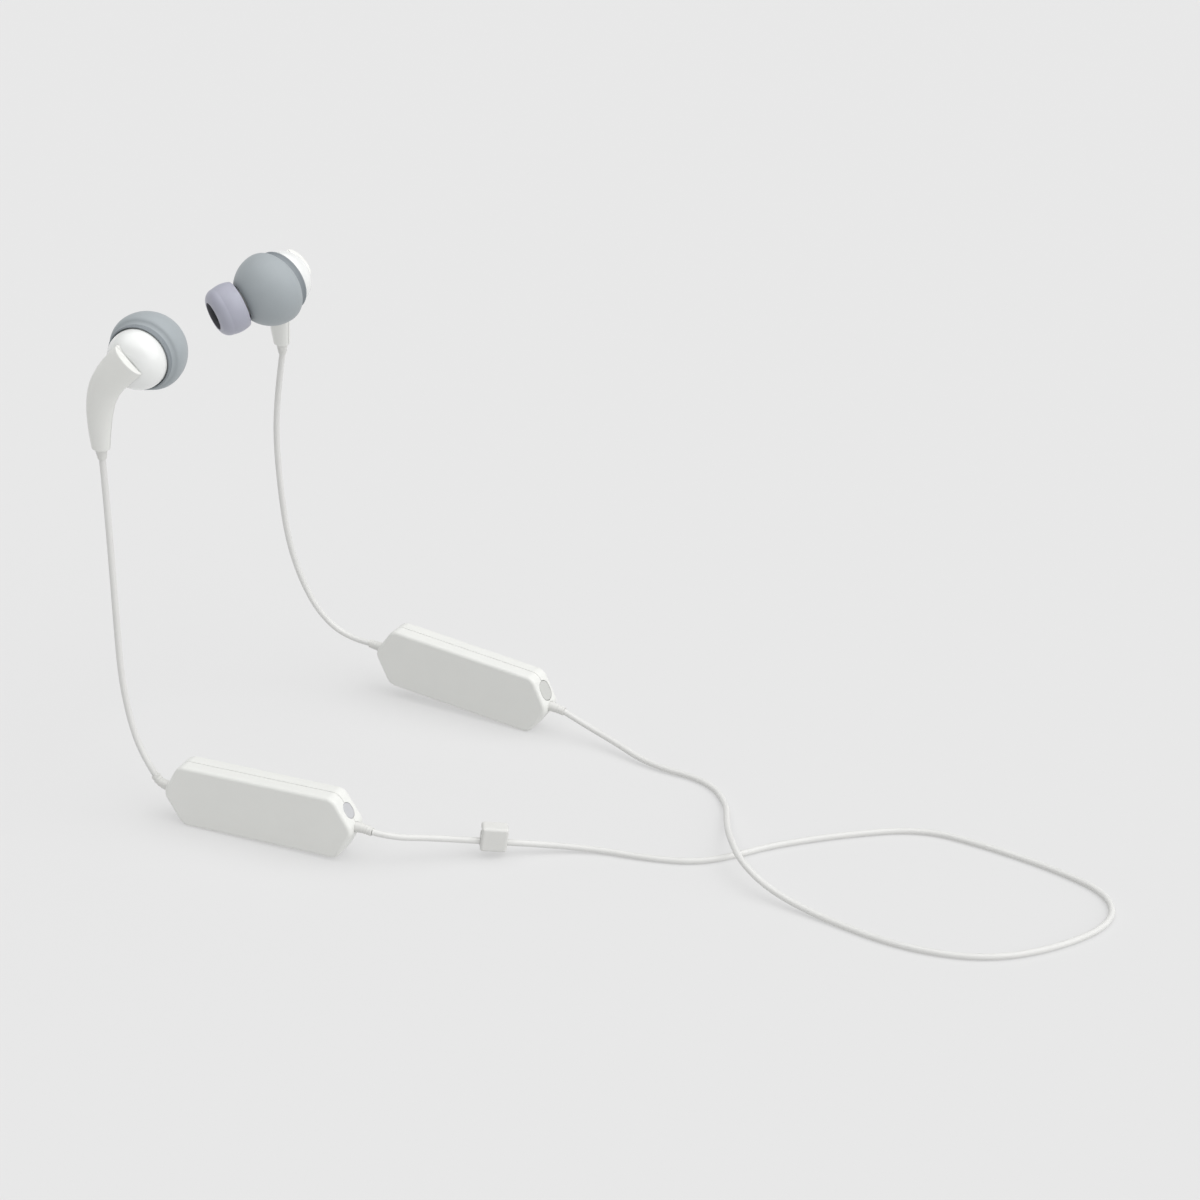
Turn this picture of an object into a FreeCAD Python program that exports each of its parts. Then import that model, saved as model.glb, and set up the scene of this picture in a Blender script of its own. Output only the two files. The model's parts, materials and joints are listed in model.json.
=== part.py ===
import FreeCAD, Part
import math
import os
from FreeCAD import Vector, Rotation, Placement

# Neckband earphones, worn position. Millimetres, +Z up, +X towards the wearer's back, +Y to the
# wearer's right. The origin is the middle of the wearer's head, halfway between the two earbuds.
# The buds are held up at the ears; both control modules and the neck cord rest on a level surface
# RESTING_Z below. Earbud pieces are drawn in the left bud's own frame: origin at the middle of the
# ball-shaped body, +Y towards the ear, +Z up; the right bud is its mirror image.

os.makedirs("parts", exist_ok=True)

# ---- driving dimensions ------------------------------------------------------------------------
RESTING_Z = -120.0           # the surface that the modules and the neck cord lie on
CORD_D = 1.6                 # silicone-jacketed cord
RUNNING_GAP = 0.05           # radial clearance of turning and sliding fits
SEAM = 0.06                  # half the parting gap between two shell halves

BALL_R = 9.3                 # silicone enhancer, outside
ENHANCER_T = 1.25            # its wall
BODY_R = 7.2                 # white housing where it leaves the enhancer
HOUSING_WALL = 1.2
RIM_Y = -4.6                 # where the enhancer ends and the bare housing shows
PARTING_Y = -3.8             # housing to rear cap
CAP_END_Y = -10.45           # flat end of the domed rear cap
CAP_FLAT_R = 3.2
PIVOT_R = 1.5                # hollow pin that the bud turns on
PIVOT_BORE_R = 0.7
NOZZLE_TILT = 25.0           # degrees off the housing's axis
NOZZLE_DROP = 20.0           # how far that tilt is turned from forward to down
NOZZLE_R = 3.0
NOZZLE_BORE_R = 2.3
NOZZLE_END = 14.2            # distance from the ball's middle
TIP_R = 6.4                  # silicone ear tip, widest
TIP_BASE = 8.6
TIP_FRONT = 15.9

MODULE_L = 53.0              # control module, point to point
MODULE_H = 16.6
MODULE_T = 7.0
MODULE_SHOULDER = 5.0        # how far the sloping ends run along the top and bottom edges
MODULE_WALL = 1.2
CORNER_R = 3.2
EDGE_R = 0.9
BOOT_R = 1.35                # rubber boot where a cord enters a module
PORT_UP = 1.0                # charge port, up the slope from the middle of its facet
BUTTON_R = 2.9
BUTTON_TRAVEL = 0.35
BUTTON_STEP = 9.0
SLIDER_L, SLIDER_W, SLIDER_H = 6.5, 4.2, 6.4

LEFT_BUD = Placement(Vector(-0.37, -26.79, 0.8), Rotation(6.7, 6.3, 1.7))
RIGHT_BUD = Placement(Vector(0.0, 26.3, -0.9), Rotation(-10.7, 4.9, 11.9))
LEFT_TURN, RIGHT_TURN = -30.0, 0.0   # how far each bud is turned on its stem
LEFT_MODULE = Placement(Vector(26.5, -32.0, -111.3), Rotation(1.5, -0.8, 0.0))
RIGHT_MODULE = Placement(Vector(41.0, 47.0, -109.9), Rotation(-3.0, 5.3, 0.0))

# Cord routes, from the end of one strain relief to the next.
FLOOR = RESTING_Z + CORD_D / 2
LEFT_EAR_ROUTE = [
    (-9.6, -35.3, -24.4), (-10.0, -34.6, -33.0), (-9.9, -34.8, -50.0), (-10.3, -34.5, -68.0),
    (-10.7, -34.0, -84.0), (-9.1, -33.4, -97.5), (-6.5, -32.9, -105.3), (-3.9, -32.7, -109.5),
]
RIGHT_EAR_ROUTE = [
    (-6.8, 41.2, -23.9), (-8.6, 41.2, -33.0), (-10.4, 41.4, -47.0), (-10.3, 42.0, -63.0),
    (-9.5, 43.0, -77.5), (-7.2, 44.4, -89.0), (-3.0, 46.0, -99.4), (4.0, 47.9, -106.4),
    (11.3, 48.6, -107.1),
]
NECK_ROUTE = [
    (56.6, -31.3, -111.3), (61.2, -29.6, -112.6), (68.2, -23.8, -114.1), (99.1, -4.9, -119.0),
    (117.7, -2.4, FLOOR), (128.3, 1.2, FLOOR), (135.0, 7.8, FLOOR), (141.5, 16.0, FLOOR),
    (155.5, 28.0, FLOOR), (171.5, 38.5, FLOOR), (188.0, 37.5, FLOOR), (207.0, 34.0, FLOOR),
    (221.5, 28.5, FLOOR), (225.8, 17.0, FLOOR), (217.5, 2.0, FLOOR), (204.0, -10.0, FLOOR),
    (185.0, -13.6, FLOOR), (164.0, -9.8, FLOOR), (149.5, -6.6, -117.2), (140.6, -2.8, -114.0),
    (134.4, 5.4, -113.7), (128.6, 17.0, -117.3), (123.6, 29.4, FLOOR), (114.8, 38.0, FLOOR),
    (98.0, 38.8, -118.8), (86.5, 43.2, -117.3), (76.5, 45.3, -115.2), (70.7, 45.5, -112.9),
]
SLIDER_RUN = 2               # the cord keeper sits on the run that starts at this point
SLIDER_AT = 15.4             # its middle, from that point

# Earphone stem: middle, width and thickness of its sections, from the pivot down to the cord.
STEM = [
    ((0.55, -10.4, 2.15), 8.6, 4.8), ((-1.4, -10.4, -0.1), 8.6, 4.8), ((-4.3, -10.2, -3.9), 8.0, 4.8),
    ((-6.4, -9.8, -8.2), 7.4, 4.7), ((-7.4, -9.3, -13.2), 6.6, 4.5), ((-7.6, -8.9, -18.4), 5.6, 4.2),
    ((-7.45, -8.5, -23.2), 4.5, 3.8),
]
STEM_WALL = 1.1
STEM_LEAN = 4.37             # degrees that the stem's parting plane leans towards the neck

NOZZLE = Rotation(Vector(0, 1, 0), -NOZZLE_DROP).multVec(Vector(
    -math.sin(math.radians(NOZZLE_TILT)), math.cos(math.radians(NOZZLE_TILT)), 0))


# ---- helpers -----------------------------------------------------------------------------------
def turned(points, placement=None):
    """Solid of revolution about +Y from (radius, y) points; an arc is ('arc', via, end)."""
    edges = []
    here = Vector(*points[0], 0)
    for step in points[1:]:
        if step[0] == "arc":
            end = Vector(*step[2], 0)
            edges.append(Part.Arc(here, Vector(*step[1], 0), end).toShape())
        else:
            end = Vector(*step, 0)
            edges.append(Part.makeLine(here, end))
        here = end
    if here.distanceToPoint(Vector(*points[0], 0)) > 1e-6:
        edges.append(Part.makeLine(here, Vector(*points[0], 0)))
    shape = Part.Face(Part.Wire(edges)).revolve(Vector(0, 0, 0), Vector(0, 1, 0), 360)
    if placement:
        shape.Placement = placement
    return solid(shape)


def solid(shape):
    """The largest solid in a shape, the right way out."""
    best = max(shape.Solids, key=lambda one: abs(one.Volume))
    if best.Volume < 0:
        best.reverse()
    return best


def on_nozzle():
    """Placement that turns the housing's axis into the nozzle's."""
    return Placement(Vector(0, 0, 0), Rotation(Vector(0, 1, 0), NOZZLE))


def rod(start, end, radius, end_radius=None):
    axis = end - start
    if end_radius is None:
        return Part.makeCylinder(radius, axis.Length, start, axis)
    return Part.makeCone(radius, end_radius, axis.Length, start, axis)


def save(name, shape, placement=None):
    """Write one node; every piece is one closed solid."""
    out = shape.copy()
    if placement:
        out = out.transformed(placement.toMatrix())
    assert out.isValid() and out.Volume > 0, name
    out.exportStep("parts/%s.step" % name)
    print("%-28s %9.2f mm3  %d solid" % (name, out.Volume, len(out.Solids)))
    return out


def cord(name, route, diameter=CORD_D):
    """Straight runs joined by tangent arcs, each as large as its two runs allow."""
    points = [Vector(*p) for p in route]
    edges, radii = [], []
    here = points[0]
    for before, corner, after in zip(points, points[1:], points[2:]):
        into = (corner - before).normalize()
        out = (after - corner).normalize()
        turn = into.getAngle(out)
        reach = 0.45 * min(before.distanceToPoint(corner), corner.distanceToPoint(after))
        radii.append(reach / math.tan(turn / 2))
        start, end = corner - into * reach, corner + out * reach
        middle = (out - into).normalize()
        via = corner + middle * (radii[-1] / math.cos(turn / 2) - radii[-1])
        edges += [Part.makeLine(here, start), Part.Arc(start, via, end).toShape()]
        here = end
    edges.append(Part.makeLine(here, points[-1]))
    path = Part.Wire(edges)
    ring = Part.Wire(Part.makeCircle(diameter / 2, points[0], points[1] - points[0]))
    tube = solid(path.makePipeShell([ring], True, False))
    expected = math.pi * diameter ** 2 / 4 * path.Length
    print("%s: length %.1f, smallest radii %s, volume ratio %.4f" % (
        name, path.Length, ["%.1f" % r for r in sorted(radii)[:4]], tube.Volume / expected))
    save(name, tube)


def cord_end(end, inward):
    """The cord's first few millimetres, cut from the piece that it enters."""
    end = Vector(*end)
    along = (Vector(*inward) - end).normalize()
    return rod(end, end + along * 3, CORD_D / 2)


# ---- earbuds -----------------------------------------------------------------------------------
def cap_outline(grow=0.0):
    """Outside of the domed rear cap as (radius, y) steps, from its rim to its flat end."""
    return [(BODY_R + grow, PARTING_Y), (BODY_R + grow, RIM_Y),
            ("arc", (6.1 + 0.8 * grow, -8.5 - 0.6 * grow), (CAP_FLAT_R, CAP_END_Y - grow))]


def rear_cap():
    inner_y = CAP_END_Y + HOUSING_WALL
    wall_r = BODY_R - HOUSING_WALL
    bore = PIVOT_R + RUNNING_GAP
    return turned(cap_outline() + [(bore, CAP_END_Y), (bore, inner_y), (3.0, inner_y),
                                   ("arc", (5.1, -7.7), (wall_r, RIM_Y)), (wall_r, PARTING_Y)])


def housing():
    """Front half of the bud: a ball-shaped shell with the tilted sound nozzle."""
    outer_r = BALL_R - ENHANCER_T - RUNNING_GAP
    inner_r = outer_r - HOUSING_WALL
    seat_y = -math.sqrt(outer_r ** 2 - BODY_R ** 2)
    lip_r = BODY_R - HOUSING_WALL
    shell = turned([(0, outer_r), ("arc", (outer_r * 0.8, outer_r * 0.6), (outer_r, 0)),
                    ("arc", (math.sqrt(outer_r ** 2 - 4), -2), (BODY_R, seat_y)),
                    (BODY_R, PARTING_Y), (lip_r, PARTING_Y),
                    (lip_r, -math.sqrt(inner_r ** 2 - lip_r ** 2)),
                    ("arc", (math.sqrt(inner_r ** 2 - 4), -2), (inner_r, 0)),
                    ("arc", (inner_r * 0.8, inner_r * 0.6), (0, inner_r))])
    neck = rod(NOZZLE * 6.2, NOZZLE * 8.5, 4.35, NOZZLE_R)
    tube = rod(NOZZLE * 7.0, NOZZLE * NOZZLE_END, NOZZLE_R)
    bore = rod(NOZZLE * 4.5, NOZZLE * (NOZZLE_END + 1), NOZZLE_BORE_R)
    return solid(shell.fuse([neck, tube]).cut(bore).removeSplitter())


def enhancer():
    """Soft silicone ball stretched over the housing, open round the nozzle and at the rim."""
    inner_r = BALL_R - ENHANCER_T
    seat_r = BODY_R + RUNNING_GAP
    sleeve = turned([(0, BALL_R - 0.2), ("arc", (BALL_R * 0.78, BALL_R * 0.6), (BALL_R, 0)),
                     ("arc", (BALL_R - 0.3, -2.4), (BODY_R + 0.85, RIM_Y)),
                     (seat_r, RIM_Y), (seat_r, -math.sqrt(inner_r ** 2 - seat_r ** 2)),
                     ("arc", (math.sqrt(inner_r ** 2 - 4), -2), (inner_r, 0)),
                     ("arc", (inner_r * 0.8, inner_r * 0.6), (0, inner_r))])
    return solid(sleeve.cut(rod(NOZZLE * 4, NOZZLE * 12, 4.5)))


def ear_tip():
    bore = NOZZLE_R + RUNNING_GAP
    return turned([(bore, TIP_BASE), (bore, 14.7), (3.65, TIP_FRONT),
                   ("arc", (5.35, 15.1), (6.15, 13.2)), ("arc", (TIP_R, 11.4), (5.9, TIP_BASE)),
                   (5.2, TIP_BASE), ("arc", (5.55, 11.4), (4.6, 13.6)), (3.95, 13.6),
                   (3.95, TIP_BASE)], on_nozzle())


def driver_basket():
    return turned([(4.7, 0.6), (5.2, 0.6), (5.2, 2.6), (5.75, 2.6), (5.75, 3.4), (4.7, 3.4)])


def driver_magnet():
    return turned([(0, -1.6), (3.6, -1.6), (3.6, 1.2), (2.9, 1.2), (2.9, -0.9), (2.5, -0.9),
                   (2.5, 1.0), (0, 1.0)])


def diaphragm():
    """Domed film with a rolled surround."""
    return turned([(0, 2.8), (1.0, 2.8), (2.4, 2.0), (3.0, 2.3), (4.0, 2.3), (4.6, 2.0),
                   (4.6, 1.6), (4.0, 1.9), (3.0, 1.9), (2.4, 1.6), (1.0, 2.4), (0, 2.4)])


def nozzle_mesh():
    return rod(NOZZLE * 13.3, NOZZLE * 13.6, NOZZLE_BORE_R - 0.02)


def pivot_pin():
    """Hollow pin fixed in the stem, with a flange that holds the cap and lets the wires through."""
    flange_y = CAP_END_Y + HOUSING_WALL + 0.1
    return turned([(PIVOT_BORE_R, flange_y + 0.6), (2.4, flange_y + 0.6), (2.4, flange_y),
                   (PIVOT_R, flange_y), (PIVOT_R, -12.2), (PIVOT_BORE_R, -12.2)])


def stem_body(inset=0.0):
    """Loft of oval sections from the pivot down to the cord."""
    middles = [Vector(*row[0]) for row in STEM]
    if inset:
        middles[0] = middles[0] + (middles[1] - middles[0]).normalize() * inset
    rings = []
    for i, (middle, row) in enumerate(zip(middles, STEM)):
        along = middles[min(i + 1, len(STEM) - 1)] - middles[max(i - 1, 0)]
        across = along.cross(Vector(0, 1, 0)).normalize()
        oval = Part.Ellipse(middle + across * (row[1] / 2 - inset),
                            middle + along.cross(across).normalize() * (row[2] / 2 - inset), middle)
        rings.append(Part.Wire(oval.toShape()))
    return solid(Part.makeLoft(rings, True, False))


def stem_halves():
    """Outer and inner shell of the stem, parted along its length and hollowed for the wires."""
    clear = turned([(0, PARTING_Y)] + cap_outline(grow=0.2) + [(0, CAP_END_Y - 0.2)])
    pin_hole = rod(Vector(0, -12.25, 0), Vector(0, -8, 0), PIVOT_R + 0.02)
    shell = stem_body().cut(stem_body(STEM_WALL)).cut(clear).cut(pin_hole)
    lean = Placement(Vector(0, -10.35, 1.0), Rotation(Vector(1, 0, 0), STEM_LEAN))
    halves = []
    for low, high in ((-30, -SEAM), (SEAM, 30)):
        block = Part.makeBox(60, high - low, 80, Vector(-30, low, -40))
        block.Placement = lean
        halves.append(solid(shell.common(block)))
    return halves


def earbud(side, placement, mirrored, turn, route):
    outer, inner = stem_halves()
    pieces = {
        "stem_outer": outer, "stem_inner": inner, "pivot_pin": pivot_pin(), "rear_cap": rear_cap(),
        "housing": housing(), "enhancer": enhancer(), "ear_tip": ear_tip(),
        "driver_basket": driver_basket(), "driver_magnet": driver_magnet(),
        "diaphragm": diaphragm(), "nozzle_mesh": nozzle_mesh(),
    }
    stem = []
    for name, shape in pieces.items():
        if mirrored:
            shape = shape.mirror(Vector(0, 0, 0), Vector(0, 1, 0))
        if name.startswith("stem"):
            stem.append(save("%s_%s" % (side, name), shape, placement))
        else:
            own = placement.multiply(Placement(Vector(), Rotation(Vector(0, 1, 0), turn)))
            save("%s_%s" % (side, name), shape, own)
    foot = Vector(*STEM[-1][0])
    if mirrored:
        foot.y = -foot.y
    start = placement.multVec(foot)
    cone = rod(start, Vector(*route[0]), 1.5, 1.05)
    save(side + "_strain_relief", solid(cone.cut(stem + [cord_end(route[0], route[1])])))


# ---- control modules ---------------------------------------------------------------------------
def prism(inset, low_y, high_y, corner_r):
    """The module's long six-sided outline, inset all round, as a bar along Y."""
    half_h = MODULE_H / 2
    slope = math.hypot(MODULE_SHOULDER, half_h)
    tip = MODULE_L / 2 - inset * slope / half_h
    top = half_h - inset
    shoulder = tip - MODULE_SHOULDER / half_h * top
    outline = [(tip, 0), (shoulder, top), (-shoulder, top), (-tip, 0), (-shoulder, -top),
               (shoulder, -top), (tip, 0)]
    face = Part.Face(Part.makePolygon([Vector(x, low_y, z) for x, z in outline]))
    bar = face.extrude(Vector(0, high_y - low_y, 0))
    upright = [e for e in bar.Edges if abs(e.BoundBox.YLength - (high_y - low_y)) < 1e-6]
    return bar.makeFillet(corner_r, upright)


def module_body():
    bar = prism(0, -MODULE_T / 2, MODULE_T / 2, CORNER_R)
    around = [e for e in bar.Edges if e.BoundBox.YLength < 1e-6]
    return bar.makeFillet(EDGE_R, around)


def facet():
    """Placement of the sloping upper rear end: x down the slope, y across, z outwards."""
    half_h = MODULE_H / 2
    slope = math.hypot(MODULE_SHOULDER, half_h)
    out = Vector(half_h / slope, 0, MODULE_SHOULDER / slope)
    across = Vector(0, 1, 0)
    middle = Vector(MODULE_L / 2 - MODULE_SHOULDER / 2, 0, half_h / 2)
    return Placement(middle, Rotation(across.cross(out), across, out, "ZXY"))


def oval(length, width, low, high, up=0.0):
    """Stadium-shaped block standing on the facet, moved up the slope."""
    bar = Part.makeBox(length, width, high - low, Vector(-length / 2 - up, -width / 2, low))
    upright = [e for e in bar.Edges if abs(e.BoundBox.ZLength - (high - low)) < 1e-6]
    block = bar.makeFillet(min(length, width) / 2 - 0.01, upright)
    return block.transformed(facet().toMatrix())


def block(size, middle, round_r=0.0):
    bar = Part.makeBox(*size, Vector(*middle) - Vector(*size) / 2)
    return bar.makeFillet(round_r, bar.Edges) if round_r else bar


def boot(side, end, module, route_end, inward):
    """Rubber boot: collar inside, neck through the wall and a bent tail out to the cord."""
    out = Vector(1 if end == "rear" else -1, 0, 0)
    collar = rod(out * 23.0, out * 23.8, 1.95)
    neck = rod(out * 23.8, out * 26.6, BOOT_R)
    goal = module.inverse().multVec(Vector(*route_end))
    chord = goal - out * 26.5
    side_way = out - chord * (out.dot(chord) / chord.dot(chord))
    sag = chord.Length / 2 * math.tan(out.getAngle(chord) / 2)
    via = out * 26.5 + chord / 2 + side_way.normalize() * sag
    path = Part.Wire(Part.Arc(out * 26.5, via, goal).toShape())
    ring = Part.Wire(Part.makeCircle(1.2, out * 26.5, out))
    tail = solid(path.makePipeShell([ring], True, False))
    whole = solid(neck.fuse([collar, tail])).transformed(module.toMatrix())
    save("%s_%s_boot" % (side, end), solid(whole.cut(cord_end(route_end, inward))))


def module_shells(side, placement, openings):
    """Two shell halves with a seal between them; openings are cut through both."""
    cavity = prism(MODULE_WALL, MODULE_WALL - MODULE_T / 2, MODULE_T / 2 - MODULE_WALL, 1.4)
    seal = prism(0.35, -0.4, 0.4, CORNER_R - 0.35).cut(prism(0.85, -1, 1, CORNER_R - 0.85))
    ends = [rod(Vector(x, 0, 0), Vector(x * 1.2, 0, 0), BOOT_R + 0.03) for x in (23.0, -23.0)]
    shell = module_body().cut(cavity).cut(ends).cut(openings)
    seal = solid(seal.cut(ends).cut(openings))
    for name, low, high in (("shell_left", -20, -SEAM), ("shell_right", SEAM, 20)):
        half = Part.makeBox(80, high - low, 40, Vector(-40, low, -20))
        save("%s_%s" % (side, name), solid(shell.common(half).cut(seal)), placement)
    save(side + "_seal", seal, placement)


def left_module():
    window = oval(4.2, 3.4, -1.3, 0.05)
    module_shells("left", LEFT_MODULE, [oval(4.26, 3.46, -3, 2)])
    save("left_status_light", window, LEFT_MODULE)
    save("left_battery", block((30, 3.8, 11), (-2.5, 0, 0), 0.8), LEFT_MODULE)
    save("left_charge_board", block((5.0, 0.8, 8.0), (16.5, 0, 0)), LEFT_MODULE)


def right_module():
    flap_gap = 0.12
    flap = oval(5.4, 4.2, -0.8, 0.05)
    recess = oval(5.4 + 2 * flap_gap, 4.2 + 2 * flap_gap, -0.85, 2)
    port = oval(3.4, 1.9, -3, 1, PORT_UP)
    button_xs = (-BUTTON_STEP, 0.0, BUTTON_STEP)
    holes = [rod(Vector(x, 1.5, 0), Vector(x, 6, 0), BUTTON_R + 0.12) for x in button_xs]
    sound_hole = rod(Vector(-16, 1.5, 0), Vector(-16, 6, 0), 0.4)
    module_shells("right", RIGHT_MODULE, holes + [recess, port, sound_hole])
    save("right_port_flap", flap, RIGHT_MODULE)
    socket = oval(4.2, 2.7, -3.4, -1.4, PORT_UP).cut(oval(3.4, 1.9, -3.0, 0, PORT_UP))
    save("right_charge_socket", solid(socket), RIGHT_MODULE)
    save("right_main_board", block((32, 0.8, 10.0), (-2.0, 0, 0)), RIGHT_MODULE)
    save("right_button_mat", block((26, 0.8, 8.6), (0, 0.9, 0), 0.3), RIGHT_MODULE)
    save("right_microphone", rod(Vector(-16, 0.45, 0), Vector(-16, 1.9, 0), 2.0), RIGHT_MODULE)
    for name, x in zip(("volume_up", "play", "volume_down"), button_xs):
        cap = rod(Vector(x, 1.7, 0), Vector(x, 3.85, 0), BUTTON_R)
        rim = [e for e in cap.Edges if e.BoundBox.YLength < 1e-6 and e.BoundBox.YMin > 3]
        flange = rod(Vector(x, 1.7, 0), Vector(x, 2.2, 0), BUTTON_R + 0.6)
        save("right_%s_button" % name, solid(cap.makeFillet(0.25, rim).fuse(flange)), RIGHT_MODULE)


def cord_keeper():
    """Sliding block on the neck cord, with a second, slotted channel for the other strand."""
    start, end = [Vector(*p) for p in NECK_ROUTE[SLIDER_RUN:SLIDER_RUN + 2]]
    along = (end - start).normalize()
    across = Vector(0, 0, 1).cross(along).normalize()
    seat = Placement(start + along * SLIDER_AT, Rotation(along, across, along.cross(across), "XZY"))
    body = block((SLIDER_L, SLIDER_W, SLIDER_H), (0, 0, SLIDER_H / 2 - 1.9), 0.7)
    bore = rod(Vector(-5, 0, 0), Vector(5, 0, 0), CORD_D / 2 + 0.1)
    channel_z = 2.5
    channel = rod(Vector(-5, 0, channel_z), Vector(5, 0, channel_z), CORD_D / 2 + 0.05)
    slot = block((10, 4, 1.1), (0, 2, channel_z))
    save("cord_keeper", solid(body.cut([bore, channel, slot])), seat)
    print("cord_keeper middle", seat.Base, "slides along", along)
    print("second channel middle", seat.multVec(Vector(0, 0, channel_z)))


earbud("left", LEFT_BUD, False, LEFT_TURN, LEFT_EAR_ROUTE)
earbud("right", RIGHT_BUD, True, RIGHT_TURN, RIGHT_EAR_ROUTE)
left_module()
right_module()
boot("left", "front", LEFT_MODULE, LEFT_EAR_ROUTE[-1], LEFT_EAR_ROUTE[-2])
boot("left", "rear", LEFT_MODULE, NECK_ROUTE[0], NECK_ROUTE[1])
boot("right", "front", RIGHT_MODULE, RIGHT_EAR_ROUTE[-1], RIGHT_EAR_ROUTE[-2])
boot("right", "rear", RIGHT_MODULE, NECK_ROUTE[-1], NECK_ROUTE[-2])
cord("left_ear_cord", LEFT_EAR_ROUTE)
cord("right_ear_cord", RIGHT_EAR_ROUTE)
cord("neck_cord", NECK_ROUTE)
cord_keeper()
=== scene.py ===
import json
import math

import bmesh
import bpy
from bpy.props import FloatProperty, FloatVectorProperty, IntProperty, PointerProperty
from mathutils import Matrix, Vector

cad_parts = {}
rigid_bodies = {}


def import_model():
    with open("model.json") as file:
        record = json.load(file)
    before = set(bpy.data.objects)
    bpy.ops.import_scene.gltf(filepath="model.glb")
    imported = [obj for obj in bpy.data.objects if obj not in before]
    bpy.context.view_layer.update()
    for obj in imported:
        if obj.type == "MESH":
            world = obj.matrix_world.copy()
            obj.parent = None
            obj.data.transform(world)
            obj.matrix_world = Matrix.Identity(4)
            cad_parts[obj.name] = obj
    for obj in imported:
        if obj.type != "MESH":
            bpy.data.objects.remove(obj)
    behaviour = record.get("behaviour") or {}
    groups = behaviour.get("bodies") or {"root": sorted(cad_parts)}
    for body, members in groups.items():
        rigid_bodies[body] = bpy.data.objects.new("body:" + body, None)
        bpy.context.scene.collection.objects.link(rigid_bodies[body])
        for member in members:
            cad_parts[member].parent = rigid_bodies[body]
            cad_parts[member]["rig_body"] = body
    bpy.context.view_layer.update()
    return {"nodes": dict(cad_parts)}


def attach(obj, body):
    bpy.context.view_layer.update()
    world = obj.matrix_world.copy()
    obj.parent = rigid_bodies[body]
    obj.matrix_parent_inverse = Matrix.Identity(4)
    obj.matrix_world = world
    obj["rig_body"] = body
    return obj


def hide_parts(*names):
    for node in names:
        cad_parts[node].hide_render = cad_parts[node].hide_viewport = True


bl_info = {
    "name": "Neckband earphones",
    "version": (1, 0, 0),
    "blender": (4, 5, 0),
    "location": "3D View > Sidebar > Earphones",
    "description": "Builds neckband earphones round their packed assembly",
    "category": "Add Mesh",
}

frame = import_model()

# Local drawings are in millimetres; placed() brings them to metres in the shared frame.
MM = 0.001
RESTING_Z = -120.0
LEFT_BUD = ((-0.37, -26.79, 0.8), (6.7, 6.3, 1.7))
RIGHT_BUD = ((0.0, 26.3, -0.9), (-10.7, 4.9, 11.9))
LEFT_TURN = -30.0
LEFT_MODULE = ((26.5, -32.0, -111.3), (1.5, -0.8, 0.0))
RIGHT_MODULE = ((41.0, 47.0, -109.9), (-3.0, 5.3, 0.0))

RIM_Y = -4.6
PARTING_Y = -3.8
CAP_END_Y = -10.45
NOZZLE_TILT = 25.0
NOZZLE_DROP = 20.0
SEAM = 0.06
STEM_LEAN = 4.37
STEM_END_ROUND = 0.25
MODULE_END_X = 26.5
MESH_BACK_Y = 14.2
# Behind this height the enhancer's collar is painted darker: painted shade for the groove between
# ball and cap.
COLLAR_SHADE_Y = -3.1
FLOOR = RESTING_Z + 0.8

# Stem sections: middle, width, thickness.
STEM = [
    ((0.55, -10.4, 2.15), 8.6, 4.8), ((-1.4, -10.4, -0.1), 8.6, 4.8),
    ((-4.3, -10.2, -3.9), 8.0, 4.8), ((-6.4, -9.8, -8.2), 7.4, 4.7),
    ((-7.4, -9.3, -13.2), 6.6, 4.5), ((-7.6, -8.9, -18.4), 5.6, 4.2),
    ((-7.45, -8.5, -23.2), 4.5, 3.8),
]

LEFT_EAR_ROUTE = [
    (-9.6, -35.3, -24.4), (-10.0, -34.6, -33.0), (-9.9, -34.8, -50.0), (-10.3, -34.5, -68.0),
    (-10.7, -34.0, -84.0), (-9.1, -33.4, -97.5), (-6.5, -32.9, -105.3), (-3.9, -32.7, -109.5),
]
RIGHT_EAR_ROUTE = [
    (-6.8, 41.2, -23.9), (-8.6, 41.2, -33.0), (-10.4, 41.4, -47.0), (-10.3, 42.0, -63.0),
    (-9.5, 43.0, -77.5), (-7.2, 44.4, -89.0), (-3.0, 46.0, -99.4), (4.0, 47.9, -106.4),
    (11.3, 48.6, -107.1),
]
NECK_ROUTE = [
    (56.6, -31.3, -111.3), (61.2, -29.6, -112.6), (68.2, -23.8, -114.1), (75.98, -19.04, -115.33),
    (99.1, -4.9, -119.0), (117.7, -2.4, FLOOR), (128.3, 1.2, FLOOR), (135.0, 7.8, FLOOR),
    (141.5, 16.0, FLOOR), (155.5, 28.0, FLOOR), (171.5, 38.5, FLOOR), (188.0, 37.5, FLOOR),
    (207.0, 34.0, FLOOR), (221.5, 28.5, FLOOR), (225.8, 17.0, FLOOR), (217.5, 2.0, FLOOR),
    (204.0, -10.0, FLOOR), (185.0, -13.6, FLOOR), (164.0, -9.8, FLOOR), (149.5, -6.6, -117.2),
    (140.6, -2.8, -114.0), (134.4, 5.4, -113.7), (128.6, 17.0, -117.3), (123.6, 29.4, FLOOR),
    (114.8, 38.0, FLOOR), (98.0, 38.8, -118.8), (86.5, 43.2, -117.3), (76.5, 45.3, -115.2),
    (70.7, 45.5, -112.9),
]
KEEPER_MIDDLE = (81.2188, -15.8370, -116.1645)
KEEPER_ALONG = (0.845377, 0.517075, -0.134057)


# ---- placing ---------------------------------------------------------------------------------
def placed(base, turns, mirrored=False):
    """Matrix that brings a drawing in millimetres to its place, in metres."""
    yaw, pitch, roll = (math.radians(angle) for angle in turns)
    turn = (Matrix.Rotation(yaw, 4, "Z") @ Matrix.Rotation(pitch, 4, "Y")
            @ Matrix.Rotation(roll, 4, "X"))
    flip = Matrix.Diagonal((1, -1, 1, 1)) if mirrored else Matrix.Identity(4)
    return Matrix.Diagonal((MM, MM, MM, 1)) @ Matrix.Translation(base) @ turn @ flip


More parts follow.
